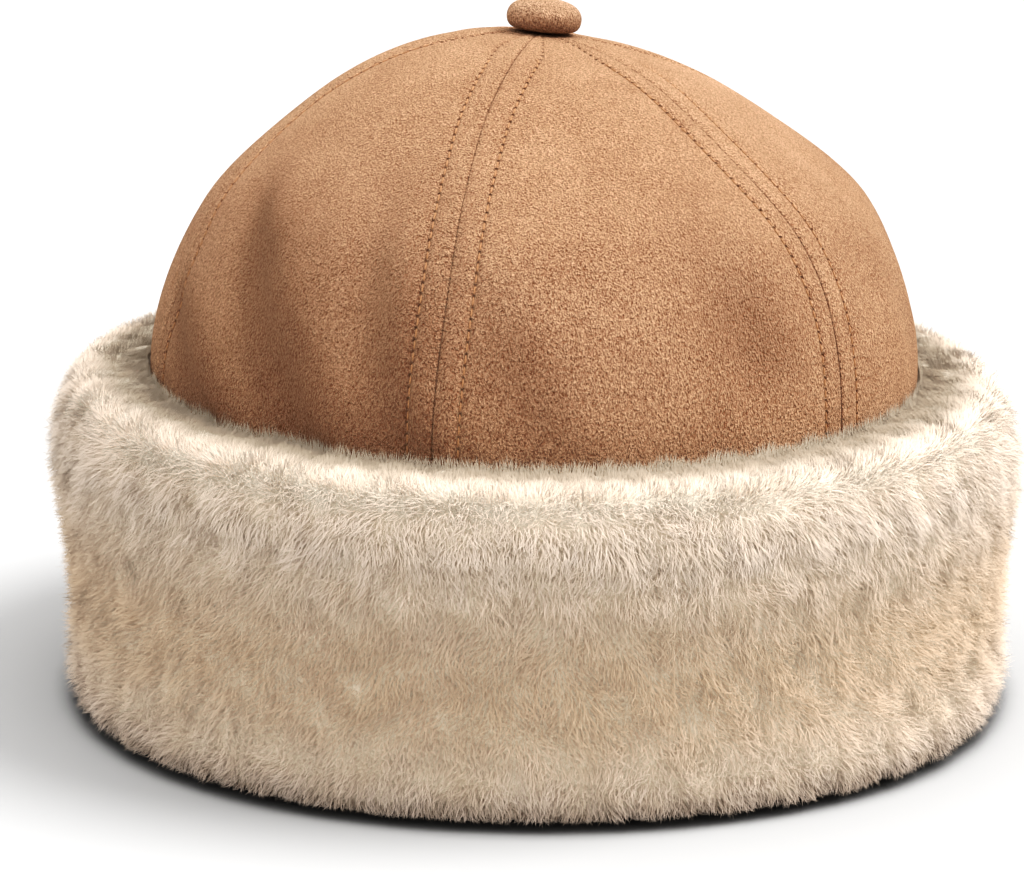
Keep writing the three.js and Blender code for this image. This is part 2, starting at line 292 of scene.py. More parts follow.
# The pile's tan, and painted shade in its waist under the bulge
PILE_WAIST_TAN_AND_SHADE = (226, 191, 154)
PILE_WORN = (216, 190, 158)
# Painted shade at the pile's roots near the floor
PILE_PAINTED_FOOT_SHADE = (112, 78, 56)
PILE_SHEEN = (250, 240, 225)
GROUND_DARK = (236, 216, 188)
GROUND_LIGHT = (248, 234, 214)
GROUND_CREST = (206, 196, 179)
GROUND_SHEEN = (240, 225, 205)

# Floor: half its size in metres, and its greys for the light that it throws back and the camera
FLOOR_HALF_SIZE = 12
FLOOR_BOUNCE = (0.4, 0.4, 0.4, 1)
FLOOR_SEEN = (0.49, 0.49, 0.49, 1)
BLACK = (0.0, 0.0, 0.0, 1)
WHITE = (1, 1, 1, 1)

# Contact shadow: how far from the cap it reaches in metres, the openness over which it fades
# out, and how much of the paper's white is left where it is deepest
CONTACT_REACH = 0.015
CONTACT_FADES_OVER = (0.34, 0.7)
CONTACT_LEFT = 0.2

# Camera, as fitted to the photograph: its place in metres and its turns
CAMERA_LENS = 108.9
CAMERA_PLACE = (-0.0061, -0.75, 0.2454)
CAMERA_PITCH = 13.93
CAMERA_ROLL = 0.30

# Light: where the key light comes from, how wide it looks and its strength, and the room's glow
KEY_FROM = (0.6, 0.02, 0.8)
KEY_SPREAD = 34
KEY_STRENGTH = 3.4
GLOW_LEVEL = 0.35
GLOW_FROM_ABOVE = 1.78

# The picture's contrast curve: a level of light and the level that it is shown at
CONTRAST = [(0.03, 0.012), (0.06, 0.03), (0.1, 0.058), (0.2, 0.155), (0.3, 0.265), (0.45, 0.44)]


# Shapes in common


def smooth_step(x, low, high):
    t = np.clip((x - low) / (high - low), 0, 1)
    return t * t * (3 - 2 * t)


def turn_between(a, b):
    return np.abs((a - b + 540) % 360 - 180)


def unit(v):
    return v / np.maximum(np.linalg.norm(v, axis=-1, keepdims=True), 1e-12)


def waves(rng, x, y, reach):
    """A smooth uneven field over angle x and length y, about -1 to 1, of waves some reach long."""
    total = np.zeros(np.broadcast(x, y).shape)
    for _ in range(WAVE_COUNT):
        heading = rng.uniform(0, 2 * math.pi)
        length = reach * rng.uniform(0.7, 1.5)
        round_count = round(2 * math.pi * MEAN_REACH / length * math.cos(heading))
        up = 2 * math.pi / length * math.sin(heading)
        total += np.sin(np.radians(x) * round_count + y * up + rng.uniform(0, 2 * math.pi))
    return total / math.sqrt(WAVE_COUNT)


def uneven(rng, x, y, kinds):
    """Waves of several kinds together, each with its strength and its reach."""
    return sum(strength * waves(rng, x, y, reach) for strength, reach in kinds)


# The crown


def lean_at(share):
    """How far the dome's middle lies to the side, at a share of its rise."""
    x = np.full(np.shape(share), float(LEAN[0][1]))
    for (low, start), (high, end) in zip(LEAN, LEAN[1:]):
        x = x + (end - start) * smooth_step(share, low, high)
    return x


def seam_angle(seam, climb):
    """Where a seam lies, with its twist between two climbs of the dome."""
    angle, twist = seam
    return angle + twist * smooth_step(climb, TWIST_FROM, TWIST_TO)


def dome_share(climb):
    """How wide the dome is at a climb, as a share of its width at the shoulder."""
    phi = np.maximum(climb, 0) * math.pi / 2
    past = np.clip((np.sin(phi) - TAPER_FROM) / (TAPER_TO - TAPER_FROM), 0, 1)
    return np.cos(phi) * (1 - TOP_TAPER * np.sin(past * math.pi) ** 2)


def drawn_in(angle, climb, z, radius):
    """How far the cloth lies inside the plain dome, at its seams and dents."""
    turns = [turn_between(angle, seam_angle(seam, climb)) for seam in SEAMS]
    from_seam = np.radians(np.min(turns, axis=0)) * radius
    rising = np.clip((z - SHOULDER_Z * SEAM_PULL_FROM) / SHOULDER_Z, 0, 1)
    inset = SEAM_PULL * rising * np.exp(-((from_seam / SEAM_PULL_REACH) ** 2))
    for dent_angle, dent_z, depth, width, height in DENTS:
        across = turn_between(angle, dent_angle) / width
        up = (z - dent_z) / height
        inset = inset + depth * np.exp(-(across**2) - up**2)
    for across, present, rise in folds_at(angle, z, radius):
        inset = inset - rise * present * across * np.exp((1 - across**2) / 2)
    return inset


def folds_at(angle, z, radius):
    """For each fold: how far points lie across it in half widths, its presence and its rise."""
    for top_angle, top_z, low_angle, low_z, rise, half_width in FOLDS:
        share = np.clip((z - low_z) / (top_z - low_z), -0.5, 1.5)
        middle = low_angle + (top_angle - low_angle) * share
        turn = (angle - middle + 540) % 360 - 180
        present = smooth_step(z, low_z - FOLD_END, low_z) * smooth_step(top_z + FOLD_END - z, 0, FOLD_END)
        yield np.radians(turn) * radius / half_width, present, rise


def crown_painted_shade(angle, climb):
    """How much painted shade the crown's colour takes, 0 to 1: along its folds, at its foot, over its
    lower part and in patches.
    """
    z = SHOULDER_Z + (APEX_Z - SHOULDER_Z) * np.sin(np.maximum(climb, 0) * math.pi / 2)
    shade = 0
    for across, present, rise in folds_at(angle, z, dome_share(climb) * CROWN_HALF_WIDTH):
        shade = shade + rise * present * np.exp(-((across / FOLD_SHADE_WIDTH) ** 2))
    shade = shade * (1 - FOLD_SHADE_LOSS * smooth_step(z, *FOLD_SHADE_FADES_Z))
    painted_foot_shade = FOOT_SHADE - FOOT_SHADE_LEFTWARD * np.sin(np.radians(angle))
    shade = shade + painted_foot_shade * (1 - smooth_step(z, *FOOT_SHADE_FADES_Z))
    shade = shade + LOWER_SHADE * (1 - smooth_step(z, *LOWER_SHADE_FADES_Z))
    for patch_angle, patch_z, width, height, depth in PAINTED_SHADE_PATCHES:
        across = turn_between(angle, patch_angle) / width
        up = (z - patch_z) / height
        shade = shade + depth * np.exp(-(across**2) - up**2)
    return np.clip(shade, 0, 1)


def crown_point(angle, climb):
    """A point of the crown's outer face: climb is -1 at its edge, 0 at the shoulder, 1 on top."""
    angle, climb = np.broadcast_arrays(np.asarray(angle, float), np.asarray(climb, float))
    rise = np.sin(np.maximum(climb, 0) * math.pi / 2)
    wall_z = SHOULDER_Z + (SHOULDER_Z - CROWN_EDGE_Z) * climb
    z = np.where(climb < 0, wall_z, SHOULDER_Z + (APEX_Z - SHOULDER_Z) * rise)
    share = dome_share(climb)
    edge = np.where(climb < 0, EDGE_DRAW_IN * climb**2, 0)
    inset = drawn_in(angle, climb, z, share * CROWN_HALF_WIDTH) * np.minimum(1, 2 * share) + edge
    turn = np.radians(angle)
    aside = np.maximum(share * CROWN_HALF_WIDTH - inset, 0) * np.sin(turn)
    back = -np.maximum(share * CROWN_HALF_DEPTH - inset, 0) * np.cos(turn)
    tilt = aside * TOP_TILT * rise**TOP_TILT_POWER
    return np.stack([aside + lean_at(rise), back, z - tilt], axis=-1)


def crown_normal(angle, climb):
    step = 0.02
    top = np.minimum(np.asarray(climb) + step, 1)
    round_way = crown_point(angle + 1, climb) - crown_point(angle - 1, climb)
    up_way = crown_point(angle, top) - crown_point(angle, top - 2 * step)
    return unit(np.cross(round_way, up_way))


def crown_reach(angle, z):
    """The distance from the axis to the crown's outer face, at an angle and a height."""
    rise = np.clip((z - SHOULDER_Z) / (APEX_Z - SHOULDER_Z), 0, 1)
    above = np.arcsin(rise) * 2 / math.pi
    below = np.clip((z - SHOULDER_Z) / (SHOULDER_Z - CROWN_EDGE_Z), -1, 0)
    point = crown_point(angle, np.where(z > SHOULDER_Z, above, below))
    return np.hypot(point[..., 0], point[..., 1])


def climb_at_tip():
    """The climb at which the panels end, round the button's post."""
    low, high = 0.5, 1.0
    for _ in range(40):
        middle = (low + high) / 2
        if dome_share(middle) * CROWN_HALF_WIDTH > TIP_RADIUS:
            low = middle
        else:
            high = middle
    return low


def panel_climbs():
    wall = np.linspace(-1, 0, WALL_STEPS, endpoint=False)
    dome = np.linspace(0, climb_at_tip(), DOME_STEPS + 1)
    return np.concatenate([wall, dome])


def panel_span(start_seam, end_seam, climb):
    """A panel's start angle, radius and width at each climb."""
    start = seam_angle(start_seam, climb)
    sweep = (seam_angle(end_seam, climb) - start) % 360
    edge = crown_point(start, climb)
    rise = np.sin(np.maximum(climb, 0) * math.pi / 2)
    radius = np.hypot(edge[..., 0] - lean_at(rise), edge[..., 1])
    return start, radius, radius * np.radians(sweep) - SEAM_GAP


def length_up(points):
    """The running length along each column of a grid of points."""
    steps = np.linalg.norm(np.diff(points, axis=0), axis=-1)
    return np.concatenate([np.zeros((1, points.shape[1])), np.cumsum(steps, axis=0)])


def panel_grid(start_seam, end_seam):
    """The outer face of a panel as rows of points, with each point's distance from its nearest
    seam and along it, and how much painted shade its colour takes."""
    climb = panel_climbs()[:, None]
    start, radius, width = panel_span(start_seam, end_seam, climb)
    fit = np.minimum(1, width / 2 / EDGE_ROOM)
    left = np.array(EDGE_STEPS)[None, :] * fit
    share = np.linspace(0, 1, FIELD_STEPS + 2)[None, 1:-1]
    field = left[:, -1:] + (width - 2 * left[:, -1:]) * share
    at = np.concatenate([left, field, width - left[:, ::-1]], axis=1)
    angle = start + np.degrees((at + SEAM_GAP / 2) / radius)
    face = crown_point(angle, climb)
    from_seam = np.minimum(at, width - at) / fit
    relief = np.interp(from_seam, *zip(*SEAM_RELIEF)) * np.minimum(1, fit * RELIEF_FADE)
    grid = face + crown_normal(angle, climb) * relief[..., None]
    layers = {
        "from_seam": from_seam,
        "along_seam": length_up(grid),
        "painted_shade": crown_painted_shade(angle, climb),
    }
    return grid, layers


# Making meshes


def place_grid(bm, grid):
    """Moves the vertices of a flat unit grid to rows of points; returns their rows and columns."""
    rows, columns = grid.shape[0] - 1, grid.shape[1] - 1
    flat = np.array([vert.co for vert in bm.verts])
    column = np.rint((flat[:, 0] + 0.5) * columns).astype(int)
    row = np.rint((flat[:, 1] + 0.5) * rows).astype(int)
    placed = (grid[row, column] - CENTRE_SHIFT) * MM
    for vert, point in zip(bm.verts, placed):
        vert.co = point
    return row, column


def grid_mesh(grid, layers=None):
    """A bmesh of a grid of points, with a vertex layer for each named array in layers."""
    bm = bmesh.new()
    rows, columns = grid.shape[0] - 1, grid.shape[1] - 1
    bmesh.ops.create_grid(bm, x_segments=columns, y_segments=rows, size=0.5)
    row, column = place_grid(bm, grid)
    for name, values in (layers or {}).items():
        layer = bm.verts.layers.float.new(name)
        for vert, value in zip(bm.verts, values[row, column]):
            vert[layer] = value
    return bm


def to_object(bm, name, material):
    mesh = bpy.data.meshes.new(name)
    bm.to_mesh(mesh)
    bm.free()
    return new_object(mesh, name, material)


def new_object(mesh, name, material):
    piece = bpy.data.objects.new(name, mesh)
    bpy.context.scene.collection.objects.link(piece)
    mesh.materials.append(material)
    mesh.shade_smooth()
    return piece


def finish_piece(piece, slot_name, *nodes):
    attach(piece, "root")
    if nodes:
        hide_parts(*nodes)


def make_panels(material):
    for number, start_seam in enumerate(SEAMS, start=1):
        end_seam = SEAMS[number % len(SEAMS)]
        grid, layers = panel_grid(start_seam, end_seam)
        bm = grid_mesh(grid, layers)
        bmesh.ops.recalc_face_normals(bm, faces=bm.faces)
        bmesh.ops.solidify(bm, geom=bm.faces, thickness=SUEDE * MM)
        piece = to_object(bm, f"suede_panel_{number}", material)
        finish_piece(piece, "suede", f"crown_panel_{number}")


# The topstitching


def stitch_template():
    """One stitch along X: a small round spindle of thread."""
    bm = bmesh.new()
    bmesh.ops.create_uvsphere(bm, u_segments=8, v_segments=6, radius=1)
    bmesh.ops.rotate(bm, verts=bm.verts, matrix=Matrix.Rotation(math.pi / 2, 3, "Y"))
    for vert in bm.verts:
        vert.co.x = math.copysign(abs(vert.co.x) ** STITCH_TAPER, vert.co.x) * STITCH_LENGTH / 2
        vert.co.y *= THREAD_RADIUS
        vert.co.z *= THREAD_RADIUS
    bmesh.ops.triangulate(bm, faces=bm.faces)
    points = np.array([vert.co for vert in bm.verts])
    faces = np.array([[vert.index for vert in face.verts] for face in bm.faces])
    bm.free()
    return points, faces


def stitch_line(seam, side):
    """The middles of the stitches on one side of a seam, with their headings and normals."""
    climb = np.linspace(STITCH_FROM_CLIMB, climb_at_tip(), 600)
    base = seam_angle(seam, climb)
    edge = crown_point(base, climb)
    rise = np.sin(np.maximum(climb, 0) * math.pi / 2)
    radius = np.hypot(edge[:, 0] - lean_at(rise), edge[:, 1])
    room = radius * math.radians(NARROWEST_PANEL) / 2
    offset = TOPSTITCH_OFFSET * np.minimum(1, room / EDGE_ROOM)
    angle = base + side * np.degrees((offset + SEAM_GAP / 2) / radius)
    points = crown_point(angle, climb)
    normals = crown_normal(angle, climb)
    run = np.concatenate([[0], np.cumsum(np.linalg.norm(np.diff(points, axis=0), axis=1))])
    first = np.interp(STITCH_FROM_Z, points[:, 2], run)
    middles = np.arange(first, run[-1] - STITCH_END_ROOM, STITCH_PITCH)
    at = np.stack([np.interp(middles, run, points[:, k]) for k in range(3)], axis=1)
    ahead = np.stack([np.interp(middles + 0.5, run, points[:, k]) for k in range(3)], axis=1)
    normal = np.stack([np.interp(middles, run, normals[:, k]) for k in range(3)], axis=1)
    return at - unit(normal) * STITCH_SUNK, unit(ahead - at), unit(normal)


def mesh_from_arrays(name, points, faces):
    """A mesh of one small shape repeated many times, from the points and faces of every copy."""
    mesh = bpy.data.meshes.new(name)
    placed = ((points - CENTRE_SHIFT) * MM).astype(np.float32)
    mesh.vertices.add(len(placed))
    mesh.vertices.foreach_set("co", placed.ravel())
    corners = faces.shape[1]
    mesh.loops.add(faces.size)
    mesh.loops.foreach_set("vertex_index", faces.astype(np.int32).ravel())
    mesh.polygons.add(len(faces))
    mesh.polygons.foreach_set("loop_start", np.arange(0, faces.size, corners, dtype=np.int32))
    mesh.update(calc_edges=True)
    return mesh


def make_stitches(material):
    template, template_faces = stitch_template()
    lines = [stitch_line(seam, side) for seam in SEAMS for side in (-1, 1)]
    at, heading, normal = (np.concatenate(parts) for parts in zip(*lines))
    across = np.cross(normal, heading)
    axes = np.stack([heading, across, normal], axis=1)
    points = at[:, None, :] + np.einsum("vk,skc->svc", template, axes)
    faces = template_faces[None] + len(template) * np.arange(len(at))[:, None, None]
    mesh = mesh_from_arrays("topstitching", points.reshape(-1, 3), faces.reshape(-1, 3))
    finish_piece(new_object(mesh, "topstitching", material), "suede")


# The button


def make_button(material):
    """The covered button: its outline spun round its post, then set on the tilted top."""
    under = BUTTON_CLEARANCE
    top = under + BUTTON_HEIGHT
    outline = [
        (0, under - POST_SHOWN),
        (POST_RADIUS, under - POST_SHOWN),
        (POST_RADIUS, under),
        (BUTTON_RADIUS - 2.8, under),
        (BUTTON_RADIUS - 1.2, under + 0.35),
        (BUTTON_RADIUS - 0.3, under + 1.4),
        (BUTTON_RADIUS, under + 2.9),
        (BUTTON_RADIUS - 0.15, under + 4.3),
        (BUTTON_RADIUS - 0.9, under + 5.6),
        (BUTTON_RADIUS * 0.75, top - 1.05),
        (BUTTON_RADIUS * 0.52, top - 0.35),
        (BUTTON_RADIUS * 0.26, top - 0.06),
        (0, top),
    ]
    bm = bmesh.new()
    ring = [bm.verts.new((x * MM, 0, z * MM)) for x, z in outline]
    edges = [bm.edges.new(pair) for pair in zip(ring, ring[1:])]
    bmesh.ops.spin(
        bm,
        geom=ring + edges,
        axis=(0, 0, 1),
        cent=(0, 0, 0),
        angle=2 * math.pi,
        steps=48,
        use_merge=True,
    )
    bmesh.ops.remove_doubles(bm, verts=bm.verts, dist=0.01 * MM)
    bmesh.ops.recalc_face_normals(bm, faces=bm.faces)
    seat = Vector((float(lean_at(np.array(1.0))), 0, APEX_Z)) - Vector(CENTRE_SHIFT)
    tilt = Matrix.Rotation(math.atan(TOP_TILT), 4, "Y")
    bmesh.ops.transform(bm, verts=bm.verts, matrix=Matrix.Translation(seat * MM) @ tilt)
    piece = to_object(bm, "covered_button", material)
    smooth = piece.modifiers.new("rounding", "SUBSURF")
    smooth.levels = smooth.render_levels = 1
    finish_piece(piece, "suede", "top_button")


# The cuff and its pile


def round_the_cap(column, angle):
    """A smooth closed run of one column of the cuff's sizes."""
    values = np.array([row[column] for row in CUFF_SECTIONS], float)
    count = len(values)
    place = (np.asarray(angle) / 360 % 1) * count
    at = np.floor(place).astype(int)
    t = place - at
    before, here, after, beyond = (values[(at + k) % count] for k in (-1, 0, 1, 2))
    slope_in = (after - before) / 2
    slope_out = (beyond - here) / 2
    rising = 3 * t**2 - 2 * t**3
    return (
        (1 - rising) * here
        + (t**3 - 2 * t**2 + t) * slope_in
        + rising * after
        + (t**3 - t**2) * slope_out
    )


def quadratic(start, control, end, t):
    """Points of a quadratic curve for many columns at once: t runs along the second axis."""
    start, control, end = (np.stack(np.broadcast_arrays(*p), axis=-1) for p in (start, control, end))
    t = t[None, :, None]
    return (
        (1 - t) ** 2 * start[:, None]
        + 2 * t * (1 - t) * control[:, None]
        + t**2 * end[:, None]
    )


def pile_outlines(angle, steps):
    """The cuff's outline as (reach, height) for each angle, evenly spaced from foot to crown."""
    reach, waist, foot, crest = (round_the_cap(k, angle) for k in (1, 2, 3, 4))
    wall = crown_reach(angle, crest) + CUFF_GAP
    t = np.linspace(0, 1, 24)
    parts = [
        quadratic((foot - FOOT_ROUND, 0.0), (foot, 0.0), (foot, FOOT_Z), t),
        quadratic((foot, FOOT_Z), (waist - WAIST_PULL, WAIST_Z), (reach, crest - REACH_BELOW_CREST), t),
        quadratic((reach, crest - REACH_BELOW_CREST), (reach, crest), (wall + CREST_INSET, crest), t),
        quadratic((wall + CREST_INSET, crest), (wall, crest), (wall, crest - CREST_DROP), t),
    ]
    rough = np.concatenate([parts[0]] + [part[:, 1:] for part in parts[1:]], axis=1)
    run = np.linalg.norm(np.diff(rough, axis=1), axis=2).cumsum(axis=1)
    run = np.concatenate([np.zeros((len(run), 1)), run], axis=1)
    run /= run[:, -1:]
    even = np.linspace(0, 1, steps)
    columns = [
        [np.interp(even, run[k], rough[k, :, axis]) for axis in (0, 1)] for k in range(len(rough))
    ]
    return np.array(columns).transpose(0, 2, 1)


class CuffOutline:
    """The cuff's outline all round, read at any angle and place: 0 at the foot, 1 at the crown."""

    COLUMNS = 180
    STEPS = 121

    def __init__(self):
        angles = np.arange(self.COLUMNS) * 360 / self.COLUMNS
        points = pile_outlines(angles, self.STEPS)
        way = unit(np.gradient(points, axis=1))
        self.table = np.concatenate([points, way], axis=2)

    def at(self, angle, place):
        """(point, way, outward) in the plane of the section."""
        column = (angle / 360 % 1) * self.COLUMNS
        step = np.clip(place, 0, 1) * (self.STEPS - 1)
        left = np.floor(column).astype(int) % self.COLUMNS
        low = np.minimum(np.floor(step).astype(int), self.STEPS - 2)
        across = (column - np.floor(column))[..., None]
        up = (step - low)[..., None]
        right = (left + 1) % self.COLUMNS
        lower = self.table[left, low] * (1 - across) + self.table[right, low] * across
        upper = self.table[left, low + 1] * (1 - across) + self.table[right, low + 1] * across
        read = lower * (1 - up) + upper * up
        way = unit(read[..., 2:])
        outward = np.stack([way[..., 1], -way[..., 0]], axis=-1)
        return read[..., :2], way, outward


def turned(angle, section):
    """Section vectors (away from the axis, up) turned to their angles round the cap."""
    turn = np.radians(angle)
    away, up = section[..., 0], section[..., 1]
    return np.stack([away * np.sin(turn), -away * np.cos(turn), up], axis=-1)


def ground_section(outline, angle, place, sunk):
    """Points of the pile's ground in the plane of the section. It fills the nook at the crown."""
    point, _, outward = outline.at(angle, place)
    depth = np.interp(place, *zip(*GROUND_RUN)) + sunk
    section = point - outward * depth[..., None]
    shelf = round_the_cap(4, angle) - SHELF_DROP - np.minimum(sunk, SHELF_SUNK_MOST)
    height = np.where(place > SHELF_FROM, np.maximum(section[..., 1], shelf), section[..., 1])
    return np.stack([section[..., 0], height], axis=-1)


def make_ground(outline, rng, material):
    """The knitted ground of the pile: the cuff's whole folded band, under its strands."""
    angle = np.linspace(0, 360, GROUND_COLUMNS + 1)[None, :]
    place = np.linspace(0, 1, GROUND_ROWS)[:, None]
    angle, place = np.broadcast_arrays(angle, place)
    lumps = GROUND_LUMPS * waves(rng, angle, place * OUTLINE_LENGTH, GROUND_LUMPS_APART)
    lumps = lumps * smooth_step(place, 0, GROUND_LUMPS_FADE)
    lumps = lumps * smooth_step(1 - place, 0, GROUND_LUMPS_FADE)
    pile = ground_section(outline, angle, place, -lumps)
    inner_z = np.array(INNER_ROWS_Z)[:, None] * np.ones_like(angle[:1])
    inner_angle = np.broadcast_to(angle[:1], inner_z.shape)
    wall = crown_reach(inner_angle, inner_z) + CUFF_GAP
    inner = np.stack([wall, inner_z], axis=-1)
    lip = wall[-1:] - LIP_UNDER_CROWN
    lip_rows = [np.stack([lip, np.full_like(lip, z)], axis=-1) for z in (LIP_THICKNESS, 0.0)]
    section = np.concatenate([pile, inner, *lip_rows, pile[:1]])
    grid = turned(np.broadcast_to(angle[:1], section.shape[:2]), section)
    bm = grid_mesh(grid)
    bmesh.ops.remove_doubles(bm, verts=bm.verts, dist=0.01 * MM)
    bmesh.ops.recalc_face_normals(bm, faces=bm.faces)
    piece = to_object(bm, "cuff_ground", material)
    finish_piece(piece, "shearling", "fur_cuff")


def tuft_pull(rng, angle, place, size):
    """From each strand to the middle of its tuft, in degrees round and in share of the outline."""
    columns = round(2 * math.pi * MEAN_REACH / size)
    rows = round(OUTLINE_LENGTH / size)
    column = np.floor(angle / 360 * columns).astype(int) % columns
    row = np.clip(np.floor(place * rows).astype(int), 0, rows - 1)
    jitter = rng.uniform(0.1, 0.9, (2, columns, rows))
    middle_angle = (column + jitter[0, column, row]) * 360 / columns
    middle_place = (row + jitter[1, column, row]) / rows
    around = (middle_angle - angle + 180) % 360 - 180
    return around, middle_place - place


def strand_roots(rng):
    """Where each strand grows: jittered over the cuff's outline."""
    column, row = np.meshgrid(np.arange(STRANDS_ROUND), np.arange(STRANDS_UP), indexing="ij")
    jitter = rng.uniform(0, 1, (2, STRANDS_ROUND, STRANDS_UP))
    angle = (column + jitter[0]) * 360 / STRANDS_ROUND
    share = (row + jitter[1]) / STRANDS_UP
    place = np.interp(share, *reversed(list(zip(*STRAND_ROWS_SPREAD))))
    return angle.ravel(), place.ravel()


def strand_course(outline, rng, angle, place):
    """Root, bend and tip of every strand, and the way that the pile stands at its root."""
    up_length = place * OUTLINE_LENGTH
    _, way, outward = outline.at(angle, place)
    normal = turned(angle, outward)
    along = turned(angle, way)
    turn = np.radians(angle)
    around = np.stack([np.cos(turn), np.sin(turn), np.zeros_like(turn)], axis=-1)
    count = len(angle)

    spots, lengths, lays, uprights = zip(*PILE_RUN)
    lay = np.interp(place, spots, lays)
    lay = lay + uneven(rng, angle, up_length, LAY_WAVES) + rng.normal(0, LAY_SPREAD, count)
    sway = uneven(rng, angle, up_length, SWAY_WAVES) + rng.normal(0, SWAY_SPREAD, count)
    length = np.interp(place, spots, lengths)
    length = length * (1 + uneven(rng, angle, up_length, LENGTH_WAVES))
    half = (length * rng.uniform(*LENGTH_RANGE, count) / 2)[:, None]

    upright = np.interp(place, spots, uprights)[:, None]
    stand = unit(normal * (1 - upright) + np.array([0, 0, 1.0]) * upright)
    lie = along * lay[:, None] * (1 - upright)
    lie = lie + around * sway[:, None] * (1 - UPRIGHT_SWAY_LOSS * upright)
    root = turned(angle, ground_section(outline, angle, place, np.full(count, ROOT_DEPTH)))
    middle = root + unit(stand + lie * LOWER_LAY) * half
    tip = middle + unit(stand * UPPER_STAND + lie * UPPER_LAY) * half

    for size, middle_share, tip_share in TUFTS:
        round_pull, up_pull = tuft_pull(rng, angle, place, size)
        pull = around * (np.radians(round_pull) * MEAN_REACH)[:, None]
        pull = pull + along * (up_pull * OUTLINE_LENGTH)[:, None]
        pull = pull * (1 - UPRIGHT_TUFT_LOSS * upright)
        middle = middle + pull * middle_share
        tip = tip + pull * tip_share
    return root, middle, tip, stand


def keep_clear(points):
    """Holds points outside the crown's cloth and above the surface that the cap stands on."""
    angle = np.degrees(np.arctan2(points[:, 0], -points[:, 1]))
    away = np.hypot(points[:, 0], points[:, 1])
    least = crown_reach(angle, np.clip(points[:, 2], CROWN_EDGE_Z, APEX_Z)) + CROWN_CLEARANCE
    grow = np.maximum(least / np.maximum(away, 1), 1)
    held = points.copy()
    held[:, 0] *= grow
    held[:, 1] *= grow
    held[:, 2] = np.maximum(held[:, 2], FLOOR_CLEARANCE)
    return held


def strand_blades(rng, angle, place, root, middle, tip, stand):
    """The five points of every strand, its flat side outwards and a little up, and its normal."""
    heading = unit(tip - root)
    turn = np.radians(angle)
    away = np.stack([np.sin(turn), -np.cos(turn), np.zeros_like(turn)], axis=-1)
    crest = smooth_step(place, *FACE_OUT_OVER)[:, None]
    up = np.array([0, 0, 1.0])
    seen_from = stand + up * FACE_UP + away * crest + rng.normal(0, FACE_SPREAD, stand.shape)
    across = unit(np.cross(seen_from, heading))
    width = STRAND_WIDTH * rng.uniform(*WIDTH_RANGE, len(angle))[:, None]
    middles = [root, root, middle, middle, tip]
    points = [spot + across * width * share for spot, share in zip(middles, STRAND_ACROSS)]
    face = np.cross(heading, across)
    lit = stand + up * LIT_UP + face * LIT_BY_FACE + rng.normal(0, LIT_SPREAD, stand.shape)
    return np.stack(points, axis=1), unit(lit)


def strand_shades(rng, angle, place):
    """How light each strand is, about -1 to 1: uneven in patches, and even near the crest."""
    up_length = place * OUTLINE_LENGTH
    shade = rng.normal(0, SHADE_SPREAD, len(angle))
    shade = shade + uneven(rng, angle, up_length, SHADE_WAVES)
    return shade * (1 - SHADE_EVENED * smooth_step(place, *SHADE_EVENED_OVER))


def make_pile(outline, rng, material):
    """The pile: tapered strands with one bend each, joined in a few pieces."""
    angle, place = strand_roots(rng)
    root, middle, tip, stand = strand_course(outline, rng, angle, place)
    middle = keep_clear(middle)
    tip = keep_clear(tip)
    points, normals = strand_blades(rng, angle, place, root, middle, tip, stand)
    shade = strand_shades(rng, angle, place)
    order = np.argsort(angle, kind="stable")
    for number, chosen in enumerate(np.array_split(order, PILE_PIECES), start=1):
        name = f"pile_{number}"
        make_pile_piece(name, points[chosen], normals[chosen], shade[chosen], place[chosen], material)


def make_pile_piece(name, points, normals, shade, place, material):
    count, corners = points.shape[:2]
    faces = STRAND_CORNERS[None] + corners * np.arange(count)[:, None, None]
    mesh = mesh_from_arrays(name, points.reshape(-1, 3), faces.reshape(-1, 3))
    piece = new_object(mesh, name, material)
    write_values(mesh, "tip", np.tile(STRAND_ALONG, count))
    write_values(mesh, "shade", np.repeat(shade, corners))
    write_values(mesh, "place", np.repeat(place, corners))
    normals = np.repeat(normals, corners, axis=0)
    mesh.normals_split_custom_set_from_vertices(normals)
    layer = mesh.attributes.new("stand", "FLOAT_VECTOR", "POINT")
    layer.data.foreach_set("vector", normals.astype(np.float32).ravel())
    write_bake_cells(mesh, count)
    finish_piece(piece, "shearling")


def write_bake_cells(mesh, count):
    """A cell of the baked picture for each strand, in rows that fill the square."""
    in_cell = np.array([(0.15, 0.1), (0.85, 0.1), (0.2, 0.5), (0.8, 0.5), (0.5, 0.9)])
    row_length = math.ceil(math.sqrt(count))
    row, column = np.divmod(np.arange(count), row_length)
    cell = np.stack([column, row], axis=-1)[:, None, :]
    places = (cell + in_cell[STRAND_CORNERS.ravel()][None]) / row_length
    layer = mesh.uv_layers.new(name="OFBake")
    layer.data.foreach_set("uv", places.astype(np.float32).ravel())


def write_values(mesh, name, values):
    layer = mesh.attributes.new(name, "FLOAT", "POINT")
    layer.data.foreach_set("value", values.astype(np.float32))


# Materials


def linear(colour):
    """A colour for a shader, from its everyday 0 to 255 values."""
    parts = [value / 255 for value in colour]
    return tuple(p / 12.92 if p <= 0.04045 else ((p + 0.055) / 1.055) ** 2.4 for p in parts) + (1,)


